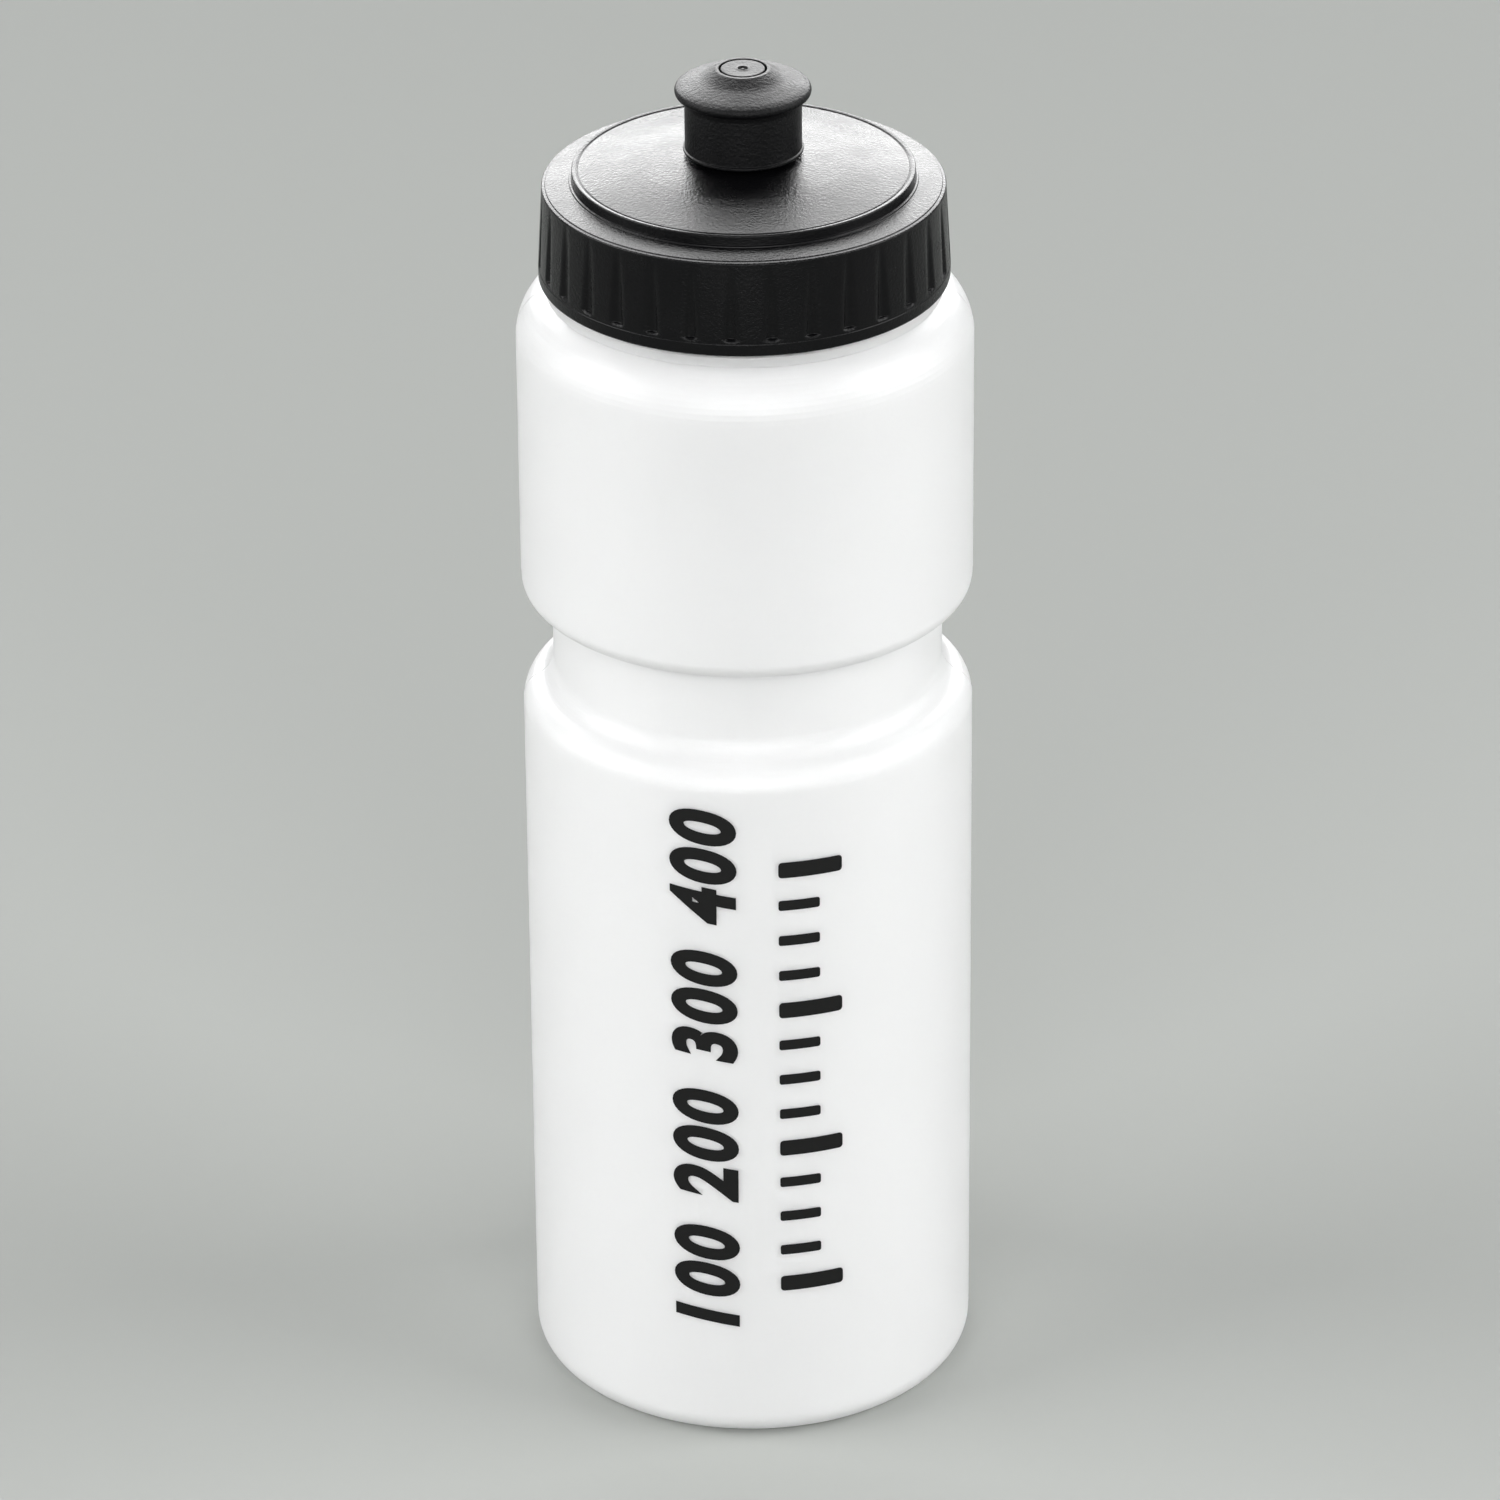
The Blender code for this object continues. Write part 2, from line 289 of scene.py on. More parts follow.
def black_plastic_material(name, settings, roughness, grain_strength):
    """Black polyolefin from a spark-eroded mould: a fine even grain that breaks up reflections.

    The real grain is about 0.15 mm; it is drawn coarser, so that it shows. Handling leaves
    patches a few millimetres wide where the gloss is duller.
    """
    material, tree, shader, place = new_material(name)
    shader.inputs["Base Color"].default_value = (*settings.cap_colour, 1.0)
    shader.inputs["IOR"].default_value = 1.5
    shader.inputs["Specular IOR Level"].default_value = 0.15
    grain = add_node(
        tree,
        "ShaderNodeTexNoise",
        {"Vector": place, "Scale": 1 / (MOULD_GRAIN * MM), "Detail": 3.0, "Roughness": 0.65},
    )
    scuffs = add_node(
        tree,
        "ShaderNodeTexNoise",
        {"Vector": place, "Scale": 1 / (SCUFF * MM), "Detail": 4.0, "Roughness": 0.6},
    )
    rough = add_node(
        tree,
        "ShaderNodeMapRange",
        {
            "Value": scuffs.outputs["Fac"],
            "From Min": 0.35,
            "From Max": 0.7,
            "To Min": roughness,
            "To Max": roughness + 0.12,
        },
    )
    tree.links.new(rough.outputs["Result"], shader.inputs["Roughness"])
    bump = add_node(
        tree,
        "ShaderNodeBump",
        {"Height": grain.outputs["Fac"], "Strength": grain_strength, "Distance": 0.0002},
    )
    tree.links.new(bump.outputs["Normal"], shader.inputs["Normal"])
    return material


def ink_material(settings):
    """Black screen-printing ink: a thin satin film, its face uneven from the screen's weave.

    A real screen has about ten threads to the millimetre; the unevenness is drawn coarser.
    """
    material, tree, shader, place = new_material("black_screen_print_ink")
    shader.inputs["Base Color"].default_value = (*settings.ink_colour, 1.0)
    shader.inputs["IOR"].default_value = 1.48
    shader.inputs["Specular IOR Level"].default_value = 0.25
    weave = add_node(
        tree,
        "ShaderNodeTexNoise",
        {"Vector": place, "Scale": 1 / (INK_WEAVE * MM), "Detail": 2.0, "Roughness": 0.5},
    )
    rough = add_node(
        tree,
        "ShaderNodeMapRange",
        {"Value": weave.outputs["Fac"], "To Min": 0.4, "To Max": 0.6},
    )
    tree.links.new(rough.outputs["Result"], shader.inputs["Roughness"])
    return material


def seal_material():
    """Off-white thermoplastic elastomer, moulded: dull and even."""
    material, tree, shader, place = new_material("off_white_elastomer")
    shader.inputs["Base Color"].default_value = (*linear("#E2E1DA"), 1.0)
    shader.inputs["IOR"].default_value = 1.49
    haze = add_node(
        tree,
        "ShaderNodeTexNoise",
        {"Vector": place, "Scale": 1 / (SEAL_HAZE * MM), "Detail": 2.0},
    )
    rough = add_node(
        tree,
        "ShaderNodeMapRange",
        {"Value": haze.outputs["Fac"], "To Min": 0.55, "To Max": 0.7},
    )
    tree.links.new(rough.outputs["Result"], shader.inputs["Roughness"])
    return material


def floor_material(settings):
    """Board with matt paint: pale grey, no shine, a faint roller tooth."""
    material, tree, shader, place = new_material("matt_painted_board")
    shader.inputs["Base Color"].default_value = (*settings.floor_colour, 1.0)
    shader.inputs["Roughness"].default_value = 0.85
    shader.inputs["Specular IOR Level"].default_value = 0.0
    tooth = add_node(
        tree,
        "ShaderNodeTexNoise",
        {"Vector": place, "Scale": 1 / (FLOOR_TOOTH * MM), "Detail": 2.0},
    )
    bump = add_node(
        tree,
        "ShaderNodeBump",
        {"Height": tooth.outputs["Fac"], "Strength": 0.05, "Distance": 0.0005},
    )
    tree.links.new(bump.outputs["Normal"], shader.inputs["Normal"])
    return material


# Outlines and turned solids


def rounded(corners, arc_step=ARC_STEP):
    """Points through (radius, height, fillet) corners, each fillet drawn as a fine arc."""
    points = []
    for index, (radius, height, fillet) in enumerate(corners):
        corner = Vector((radius, height))
        if fillet == 0:
            points.append(corner)
            continue
        before = Vector(corners[index - 1][:2])
        after = Vector(corners[(index + 1) % len(corners)][:2])
        towards = (before - corner).normalized()
        away = (after - corner).normalized()
        turn = math.pi - towards.angle(away)
        reach = fillet * math.tan(turn / 2)
        inwards = (towards + away).normalized()
        centre = corner + inwards * (fillet / math.cos(turn / 2))
        first = (corner + towards * reach - centre).normalized()
        last = (corner + away * reach - centre).normalized()
        chords = max(2, math.ceil(turn / arc_step))
        for step in range(chords + 1):
            points.append(centre + fillet * first.slerp(last, step / chords))
    return points


def offset_inwards(outline, wall):
    """The outline moved towards the inside of a closed vessel by the wall's thickness."""
    moved = []
    for index, point in enumerate(outline):
        before = outline[max(index - 1, 0)]
        after = outline[min(index + 1, len(outline) - 1)]
        along = (after - before).normalized()
        inside = Vector((along.y, -along.x))
        moved.append(point + inside * wall)
    return moved


def refined(outline, longest):
    """The outline with loops close to each end of its straight runs, and long runs cut up.

    The loops keep smooth shading from spreading a corner's roundness over the flats.
    """
    points = []
    for index, point in enumerate(outline):
        after = outline[(index + 1) % len(outline)]
        length = (after - point).length
        points.append(point)
        if length < 4 * SUPPORT_LOOP:
            continue
        share = SUPPORT_LOOP / length
        pieces = max(1, math.ceil(length / longest))
        for step in range(pieces + 1):
            points.append(point.lerp(after, share + (1 - 2 * share) * step / pieces))
    return points


def sector_mesh(name, outline, count, columns, bend=None):
    """One slice of a turned piece, 1/count of a turn wide, from its outline in millimetres.

    bend(point, share) gives the (radius, height, angle share) of a point, for flutes.
    """
    shape = bmesh.new()
    width = math.tau / count
    grid = []
    for column in range(columns + 1):
        share = column / columns
        row = []
        for point in outline:
            radius, height, angle_share = bend(point, share) if bend else (*point, share)
            angle = (angle_share - 0.5) * width
            place = (radius * math.cos(angle) * MM, radius * math.sin(angle) * MM, height * MM)
            row.append(shape.verts.new(place))
        grid.append(row)
    for column in range(columns):
        for index in range(len(outline)):
            after = (index + 1) % len(outline)
            if outline[index].x == 0 and outline[after].x == 0:
                continue
            corners = (
                grid[column][index],
                grid[column][after],
                grid[column + 1][after],
                grid[column + 1][index],
            )
            face = shape.faces.new(corners)
            face.smooth = True
    unused = [vertex for vertex in shape.verts if not vertex.link_faces]
    bmesh.ops.delete(shape, geom=unused, context="VERTS")
    mesh = bpy.data.meshes.new(name)
    shape.to_mesh(mesh)
    shape.free()
    return mesh


def repeat_round_nodes():
    """Geometry nodes that copy a slice round Z, weld the copies and give them a material."""
    name = "repeat_round"
    if name in bpy.data.node_groups:
        return bpy.data.node_groups[name]
    tree = bpy.data.node_groups.new(name, "GeometryNodeTree")
    sockets = tree.interface
    sockets.new_socket("Slice", in_out="INPUT", socket_type="NodeSocketGeometry")
    sockets.new_socket("Count", in_out="INPUT", socket_type="NodeSocketInt")
    sockets.new_socket("Phase", in_out="INPUT", socket_type="NodeSocketFloat")
    sockets.new_socket("Weld Distance", in_out="INPUT", socket_type="NodeSocketFloat")
    sockets.new_socket("Material", in_out="INPUT", socket_type="NodeSocketMaterial")
    sockets.new_socket("Geometry", in_out="OUTPUT", socket_type="NodeSocketGeometry")
    inputs = add_node(tree, "NodeGroupInput").outputs
    points = add_node(tree, "GeometryNodePoints", {"Count": inputs["Count"]})
    index = add_node(tree, "GeometryNodeInputIndex")
    share = add_node(
        tree,
        "ShaderNodeMath",
        {0: index.outputs["Index"], 1: inputs["Count"]},
        operation="DIVIDE",
    )
    turn = add_node(
        tree, "ShaderNodeMath", {0: share.outputs[0], 1: math.tau}, operation="MULTIPLY"
    )
    turned_on = add_node(
        tree, "ShaderNodeMath", {0: turn.outputs[0], 1: inputs["Phase"]}, operation="ADD"
    )
    euler = add_node(tree, "ShaderNodeCombineXYZ", {"Z": turned_on.outputs[0]})
    copies = add_node(
        tree,
        "GeometryNodeInstanceOnPoints",
        {
            "Points": points.outputs[0],
            "Instance": inputs["Slice"],
            "Rotation": euler.outputs[0],
        },
    )
    real = add_node(tree, "GeometryNodeRealizeInstances", {0: copies.outputs[0]})
    weld = add_node(
        tree,
        "GeometryNodeMergeByDistance",
        {"Geometry": real.outputs[0], "Distance": inputs["Weld Distance"]},
    )
    painted = add_node(
        tree,
        "GeometryNodeSetMaterial",
        {"Geometry": weld.outputs[0], "Material": inputs["Material"]},
    )
    add_node(tree, "NodeGroupOutput", {0: painted.outputs[0]})
    return tree


def apply_nodes(mesh, name, tree, values):
    """A plain mesh object made by running a geometry-nodes tree on a mesh."""
    source = bpy.data.objects.new(f"{name}_source", mesh)
    bpy.context.scene.collection.objects.link(source)
    modifier = source.modifiers.new("shape", "NODES")
    modifier.node_group = tree
    for item in tree.interface.items_tree:
        if item.in_out == "INPUT" and item.name in values:
            modifier[item.identifier] = values[item.name]
    source.update_tag()
    graph = bpy.context.evaluated_depsgraph_get()
    result = bpy.data.meshes.new_from_object(source.evaluated_get(graph))
    bpy.data.objects.remove(source, do_unlink=True)
    result.name = name
    piece = bpy.data.objects.new(name, result)
    bpy.context.scene.collection.objects.link(piece)
    return piece


def turned(name, outline, material, count=32, columns=6, phase=0.0, longest=LONGEST_RUN, bend=None):
    """A turned piece: one slice of it repeated round its axis."""
    mesh = sector_mesh(f"{name}_slice", refined(outline, longest), count, columns, bend)
    values = {
        "Count": count,
        "Phase": phase,
        "Weld Distance": MERGE_DISTANCE,
        "Material": material,
    }
    return apply_nodes(mesh, name, repeat_round_nodes(), values)


def attach(piece, body, slot, *replaced):
    """The piece rides on its body and may stand for CAD nodes."""
    if replaced:
        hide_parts(*replaced)
    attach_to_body(piece, body)


# Helical threads


def thread_nodes():
    """Geometry nodes for a screw thread: a rounded ridge swept along a rising turn."""
    name = "thread_ridge"
    if name in bpy.data.node_groups:
        return bpy.data.node_groups[name]
    tree = bpy.data.node_groups.new(name, "GeometryNodeTree")
    sockets = tree.interface
    sockets.new_socket("Geometry", in_out="INPUT", socket_type="NodeSocketGeometry")
    for label in ("Radius", "Start Height", "Start Turn", "Turns", "Pitch", "Ridge Radius"):
        sockets.new_socket(label, in_out="INPUT", socket_type="NodeSocketFloat")
    sockets.new_socket("Material", in_out="INPUT", socket_type="NodeSocketMaterial")
    sockets.new_socket("Geometry", in_out="OUTPUT", socket_type="NodeSocketGeometry")
    inputs = add_node(tree, "NodeGroupInput").outputs
    rise = add_node(
        tree, "ShaderNodeMath", {0: inputs["Turns"], 1: inputs["Pitch"]}, operation="MULTIPLY"
    )
    spiral = add_node(
        tree,
        "GeometryNodeCurveSpiral",
        {
            "Resolution": THREAD_STEPS,
            "Rotations": inputs["Turns"],
            "Start Radius": inputs["Radius"],
            "End Radius": inputs["Radius"],
            "Height": rise.outputs[0],
            "Reverse": False,
        },
    )
    turn = add_node(
        tree, "ShaderNodeMath", {0: inputs["Start Turn"], 1: math.tau}, operation="MULTIPLY"
    )
    place = add_node(tree, "ShaderNodeCombineXYZ", {"Z": inputs["Start Height"]})
    facing = add_node(tree, "ShaderNodeCombineXYZ", {"Z": turn.outputs[0]})
    moved = add_node(
        tree,
        "GeometryNodeTransform",
        {
            "Geometry": spiral.outputs[0],
            "Translation": place.outputs[0],
            "Rotation": facing.outputs[0],
        },
    )
    along = add_node(tree, "GeometryNodeSplineParameter")
    from_end = add_node(tree, "ShaderNodeMath", {0: along.outputs["Factor"]}, operation="PINGPONG")
    from_end.inputs[1].default_value = 0.5
    taper = add_node(
        tree,
        "ShaderNodeMapRange",
        {
            "Value": from_end.outputs[0],
            "From Max": THREAD_RUN_OUT,
            "To Min": THREAD_END_SHARE,
            "To Max": 1.0,
        },
    )
    section = add_node(
        tree,
        "GeometryNodeCurvePrimitiveCircle",
        {"Resolution": THREAD_SECTION_POINTS, "Radius": inputs["Ridge Radius"]},
    )
    ridge = add_node(
        tree,
        "GeometryNodeCurveToMesh",
        {
            "Curve": moved.outputs[0],
            "Profile Curve": section.outputs[0],
            "Scale": taper.outputs["Result"],
            "Fill Caps": True,
        },
    )
    painted = add_node(
        tree,
        "GeometryNodeSetMaterial",
        {"Geometry": ridge.outputs[0], "Material": inputs["Material"]},
    )
    add_node(tree, "NodeGroupOutput", {0: painted.outputs[0]})
    return tree


def thread(name, radius, start_height, start_turn, settings, material):
    """One turn of rounded thread; radius and start_height in millimetres."""
    values = {
        "Radius": radius * MM,
        "Start Height": start_height * MM,
        "Start Turn": start_turn,
        "Turns": THREAD_TURNS,
        "Pitch": settings.thread_pitch,
        "Ridge Radius": THREAD_RIDGE_RADIUS * MM,
        "Material": material,
    }
    piece = apply_nodes(bpy.data.meshes.new(name), name, thread_nodes(), values)
    piece.data.shade_smooth()
    return piece


# Printed scale


def tick_nodes():
    """Geometry nodes for a column of round-cornered bars, every fourth one long."""
    name = "tick_column"
    if name in bpy.data.node_groups:
        return bpy.data.node_groups[name]
    tree = bpy.data.node_groups.new(name, "GeometryNodeTree")
    sockets = tree.interface
    sockets.new_socket("Geometry", in_out="INPUT", socket_type="NodeSocketGeometry")
    sockets.new_socket("Count", in_out="INPUT", socket_type="NodeSocketInt")
    sockets.new_socket("Long Every", in_out="INPUT", socket_type="NodeSocketInt")
    labels = ("Spacing", "Left", "Bottom", "Long Length", "Short Length", "Long Bar", "Short Bar")
    for label in labels:
        sockets.new_socket(label, in_out="INPUT", socket_type="NodeSocketFloat")
    sockets.new_socket("Material", in_out="INPUT", socket_type="NodeSocketMaterial")
    sockets.new_socket("Geometry", in_out="OUTPUT", socket_type="NodeSocketGeometry")
    inputs = add_node(tree, "NodeGroupInput").outputs
    start = add_node(tree, "ShaderNodeCombineXYZ", {"X": inputs["Left"], "Y": inputs["Bottom"]})
    step = add_node(tree, "ShaderNodeCombineXYZ", {"Y": inputs["Spacing"]})
    line = add_node(
        tree,
        "GeometryNodeMeshLine",
        {"Count": inputs["Count"], "Start Location": start.outputs[0], "Offset": step.outputs[0]},
    )
    index = add_node(tree, "GeometryNodeInputIndex")
    left_over = add_node(
        tree,
        "ShaderNodeMath",
        {0: index.outputs[0], 1: inputs["Long Every"]},
        operation="MODULO",
    )
    columns = []
    for kind, comparison in (("Long", "LESS_THAN"), ("Short", "GREATER_THAN")):
        chosen = add_node(
            tree, "ShaderNodeMath", {0: left_over.outputs[0], 1: 0.5}, operation=comparison
        )
        outline = add_node(
            tree,
            "GeometryNodeCurvePrimitiveQuadrilateral",
            {"Width": inputs[f"{kind} Length"], "Height": inputs[f"{kind} Bar"]},
        )
        corner = add_node(
            tree,
            "ShaderNodeMath",
            {0: inputs[f"{kind} Bar"], 1: TICK_CORNER_SHARE},
            operation="MULTIPLY",
        )
        softened = add_node(
            tree,
            "GeometryNodeFilletCurve",
            {"Curve": outline.outputs[0], "Radius": corner.outputs[0], "Limit Radius": True},
        )
        softened.mode = "POLY"
        softened.inputs["Count"].default_value = TICK_CORNER_POINTS
        half = add_node(
            tree, "ShaderNodeMath", {0: inputs[f"{kind} Length"], 1: 0.5}, operation="MULTIPLY"
        )
        shift = add_node(tree, "ShaderNodeCombineXYZ", {"X": half.outputs[0]})
        placed = add_node(
            tree,
            "GeometryNodeTransform",
            {"Geometry": softened.outputs[0], "Translation": shift.outputs[0]},
        )
        bar = add_node(tree, "GeometryNodeFillCurve", {"Curve": placed.outputs[0]})
        bars = add_node(
            tree,
            "GeometryNodeInstanceOnPoints",
            {
                "Points": line.outputs[0],
                "Selection": chosen.outputs[0],
                "Instance": bar.outputs[0],
            },
        )
        columns.append(bars.outputs[0])
    joined = add_node(tree, "GeometryNodeJoinGeometry")
    for column in columns:
        tree.links.new(column, joined.inputs[0])
    real = add_node(tree, "GeometryNodeRealizeInstances", {0: joined.outputs[0]})
    painted = add_node(
        tree,
        "GeometryNodeSetMaterial",
        {"Geometry": real.outputs[0], "Material": inputs["Material"]},
    )
    add_node(tree, "NodeGroupOutput", {0: painted.outputs[0]})
    return tree


def height_of(volume):
    """Height above the foot, in millimetres, that a volume in millilitres fills to."""
    bore = LOBE_RADIUS - WALL
    return SCALE_ZERO + volume * 1000 / (math.pi * bore * bore)


def numeral_mesh(text, centre_height, settings):
    """One number lying along the bottle's height, as a flat mesh in metres."""
    curve = bpy.data.curves.new(f"number_{text}", "FONT")
    curve.body = text
    curve.align_x = "CENTER"
    curve.align_y = "BOTTOM"
    curve.size = settings.numeral_size
    curve.offset = settings.numeral_size * NUMERAL_BOLDNESS
    curve.shear = NUMERAL_SLANT
    curve.space_character = NUMERAL_SPACING
    curve.resolution_u = NUMERAL_RESOLUTION
    holder = bpy.data.objects.new(f"number_{text}", curve)
    bpy.context.scene.collection.objects.link(holder)
    graph = bpy.context.evaluated_depsgraph_get()
    mesh = bpy.data.meshes.new_from_object(holder.evaluated_get(graph))
    bpy.data.objects.remove(holder, do_unlink=True)
    upright = Matrix.Rotation(math.radians(90.0), 4, "Z")
    narrow = Matrix.Diagonal((NUMERAL_CONDENSED, 1.0, 1.0, 1.0))
    place = Matrix.Translation((NUMERAL_FOOT * MM, centre_height * MM, 0.0))
    mesh.transform(place @ upright @ narrow)
    return mesh


def wrap_round(meshes, name, side, material):
    """Flat artwork, x across and y up, laid on the bottle's wall as a thin film of ink."""
    shape = bmesh.new()
    for mesh in meshes:
        shape.from_mesh(mesh)
        bpy.data.meshes.remove(mesh)
    left = min(vertex.co.x for vertex in shape.verts)
    right = max(vertex.co.x for vertex in shape.verts)
    strip = WRAP_STRIP * MM
    cut = math.ceil(left / strip) * strip
    while cut < right:
        everything = shape.verts[:] + shape.edges[:] + shape.faces[:]
        bmesh.ops.bisect_plane(
            shape, geom=everything, plane_co=(cut, 0.0, 0.0), plane_no=(1.0, 0.0, 0.0)
        )
        cut += strip
    bmesh.ops.remove_doubles(shape, verts=shape.verts, dist=MERGE_DISTANCE)
    inner = (LOBE_RADIUS + INK_CLEARANCE) * MM
    for vertex in shape.verts:
        angle = side + vertex.co.x / (LOBE_RADIUS * MM)
        height = vertex.co.y
        vertex.co = (inner * math.sin(angle), -inner * math.cos(angle), height)
    bmesh.ops.recalc_face_normals(shape, faces=shape.faces)
    for face in shape.faces:
        if face.normal.dot(face.calc_center_median() * Vector((1, 1, 0))) < 0:
            face.normal_flip()
        face.smooth = True
    mesh = bpy.data.meshes.new(name)
    shape.to_mesh(mesh)
    shape.free()
    mesh.materials.clear()
    mesh.materials.append(material)
    flat = bpy.data.objects.new(f"{name}_flat", mesh)
    bpy.context.scene.collection.objects.link(flat)
    film = flat.modifiers.new("film", "SOLIDIFY")
    film.thickness = INK_THICKNESS * MM
    film.offset = 1.0
    graph = bpy.context.evaluated_depsgraph_get()
    thick = bpy.data.meshes.new_from_object(flat.evaluated_get(graph))
    bpy.data.objects.remove(flat, do_unlink=True)
    thick.name = name
    thick.set_sharp_from_angle(angle=INK_SHARP_ANGLE)
    piece = bpy.data.objects.new(name, thick)
    bpy.context.scene.collection.objects.link(piece)
    return piece


def printed_scale(name, side, settings, material):
    """Numbers along one column and bars along the other."""
    values = {
        "Count": settings.tick_count,
        "Long Every": settings.ticks_per_number,
        "Spacing": (height_of(settings.tick_volume) - height_of(0)) * MM,
        "Left": TICK_LEFT * MM,
        "Bottom": height_of(settings.first_volume) * MM,
        "Long Length": TICK_LONG * MM,
        "Short Length": TICK_SHORT * MM,
        "Long Bar": TICK_LONG_BAR * MM,
        "Short Bar": TICK_SHORT_BAR * MM,
        "Material": material,
    }
    bars = apply_nodes(bpy.data.meshes.new("bars"), f"{name}_bars", tick_nodes(), values)
    meshes = [bars.data.copy()]
    bpy.data.objects.remove(bars, do_unlink=True)
    numbers = (settings.tick_count - 1) // settings.ticks_per_number + 1
    for index in range(numbers):
        volume = settings.first_volume + index * settings.ticks_per_number * settings.tick_volume
        meshes.append(numeral_mesh(str(volume), height_of(volume), settings))
    return wrap_round(meshes, name, side, material)


# Outlines of the pieces


def bottle_outline(settings):
    """Outer wall from the lip down to the axis, and the same wall inside, in millimetres."""
    waist = settings.waist_radius / MM
    outer = rounded(
        [
            (NECK_RADIUS, NECK_RIM - WALL / 2, 0),
            (NECK_RADIUS, NECK_RING_TOP, 0.5),
            (NECK_RING_RADIUS + 0.15, NECK_RING_TOP, 0.35),
            (NECK_RING_RADIUS + 0.2, NECK_RING_FOOT, 0.12),
            (NECK_RING_RADIUS - 0.05, NECK_RING_FOOT - 0.2, 0.08),
            (LOBE_RADIUS, SHOULDER_CORNER, SHOULDER_FILLET),
            (LOBE_RADIUS, UPPER_LOBE_BOTTOM, UPPER_LOBE_FILLET),
            (waist, UPPER_LOBE_BOTTOM - WAIST_HEAD_DROP, WAIST_HEAD_FILLET),
            (waist, LOWER_LOBE_TOP + WAIST_FOOT_RISE, WAIST_FOOT_FILLET),
            (LOBE_RADIUS, LOWER_LOBE_TOP, LOWER_LOBE_FILLET),
            (LOBE_RADIUS, 0.0, BASE_FILLET),
            (LOBE_RADIUS - BASE_FILLET - FOOT_RING_WIDTH, 0.0, 0.8),
            (LOBE_RADIUS - BASE_FILLET - 3.8, 1.6, 1.2),
            (BASE_PANEL_RADIUS, BASE_PANEL_HEIGHT, 6.0),
            (0.0, BASE_PANEL_HEIGHT, 0),
        ]
    )
    inner = offset_inwards(outer, WALL)
    inner[-1].x = 0.0
    lip = []
    for step in range(1, LIP_STEPS):
        angle = math.pi * (1 - step / LIP_STEPS)
        along = Vector((math.cos(angle), math.sin(angle)))
        lip.append(Vector((NECK_RADIUS - WALL / 2, NECK_RIM - WALL / 2)) + along * WALL / 2)
    return outer, outer + inner[::-1] + lip


def cap_outline():
    """Chimney, plateau, step, shoulder and skirt outside, then the skirt and plate inside."""
    top_edge = CAP_SKIRT_LOW + SKIRT_HEIGHT
    rim = CAP_SKIRT_LOW + RIM_HEIGHT
    centre = CAP_SKIRT_LOW + PLATEAU_HEIGHT
    plate = CAP_SKIRT_LOW + PLATE_UNDERSIDE
    chimney_top = CAP_SKIRT_LOW + CHIMNEY_HEIGHT
    flute_low = CAP_SKIRT_LOW + FLUTE_FOOT
    top_radius = CAP_SKIRT_RADIUS - SKIRT_DRAFT
    low_radius = CAP_SKIRT_RADIUS - FLUTED_BAND_INSET
    step_radius = PLATEAU_RADIUS
    return rounded(
        [
            (CHIMNEY_BORE, chimney_top, 0.3),
            (CHIMNEY_RADIUS, chimney_top, 0.3),
            (CHIMNEY_RADIUS + CHIMNEY_BEAD, chimney_top - 0.7, 0.15),
            (CHIMNEY_RADIUS + CHIMNEY_BEAD, chimney_top - 1.1, 0.15),
            (CHIMNEY_RADIUS, chimney_top - 1.5, 0.15),
            (CHIMNEY_RADIUS, centre, 0.4),
            (17.0, centre - 0.9, 40.0),
            (step_radius - 1.05, rim - 0.12, 0.15),
            (step_radius - 0.85, rim - 0.3, 0.08),
            (step_radius - 0.62, rim - 0.08, 0.12),
            (step_radius, rim + 0.02, 0.28),
            (step_radius + 0.12, top_edge + 0.95, 0.06),
            (step_radius + 0.42, top_edge + 0.9, 0.06),
            (step_radius + 0.48, top_edge + 0.68, 0.1),
            (top_radius - 0.62, top_edge + 0.18, 0.15),
            (top_radius - 0.52, top_edge + 0.02, 0.06),
            (top_radius, top_edge - 0.08, 0.3),
            *((low_radius, flute_low + LEDGE_RISE * share, 0) for share in LEDGE_ROWS),
            (low_radius, flute_low, 0),
            (low_radius, flute_low - 0.35, 0.05),
            (CAP_SKIRT_RADIUS, flute_low - 0.45, 0.05),
            (CAP_SKIRT_RADIUS, CAP_SKIRT_LOW, 0.35),
            (CAP_BORE, CAP_SKIRT_LOW, 0.3),
            (CAP_BORE, plate, 0.3),
            (step_radius - STEP_WALL, plate, 0.2),
            (step_radius - STEP_WALL, rim - 2.0, 0.8),
            (CHIMNEY_BORE, centre - 2.1, 0.3),
        ],
        CAP_ARC_STEP,
    )


def flute_bend(settings):
    """How a slice of the cap bends into its flute: wide and deep low down, fading upwards."""
    low = CAP_SKIRT_LOW + FLUTE_FOOT
    high = CAP_SKIRT_LOW + FLUTE_HEAD
    pitch = math.tau / settings.flute_count * CAP_SKIRT_RADIUS
    outer = CAP_SKIRT_RADIUS - SKIRT_DRAFT - 0.1

    def bend(point, share):
        radius, height = point
        rise = min(max((height - low) / (high - low), 0.0), 1.0)
        half_width = FLUTE_WIDTH_LOW * (1 - rise) + FLUTE_WIDTH_HIGH * rise
        half_width = half_width / 2 / pitch
        off_centre = (share - 0.5) * 2
        inside = min(abs(off_centre) / 0.5, 1.0)
        beyond = max(abs(off_centre) - 0.5, 0.0) / 0.5
        reach = half_width * inside + (0.5 - half_width) * beyond
        if radius > outer and low < height < high:
            depth = settings.flute_depth / MM * (1 - rise) ** 0.8
            depth *= 1 - math.sqrt(max(1 - (height - low) / LEDGE_RISE, 0.0))
            radius -= depth * math.sqrt(max(1 - inside * inside, 0.0))
        return radius, height, 0.5 + math.copysign(reach, off_centre)

    return bend


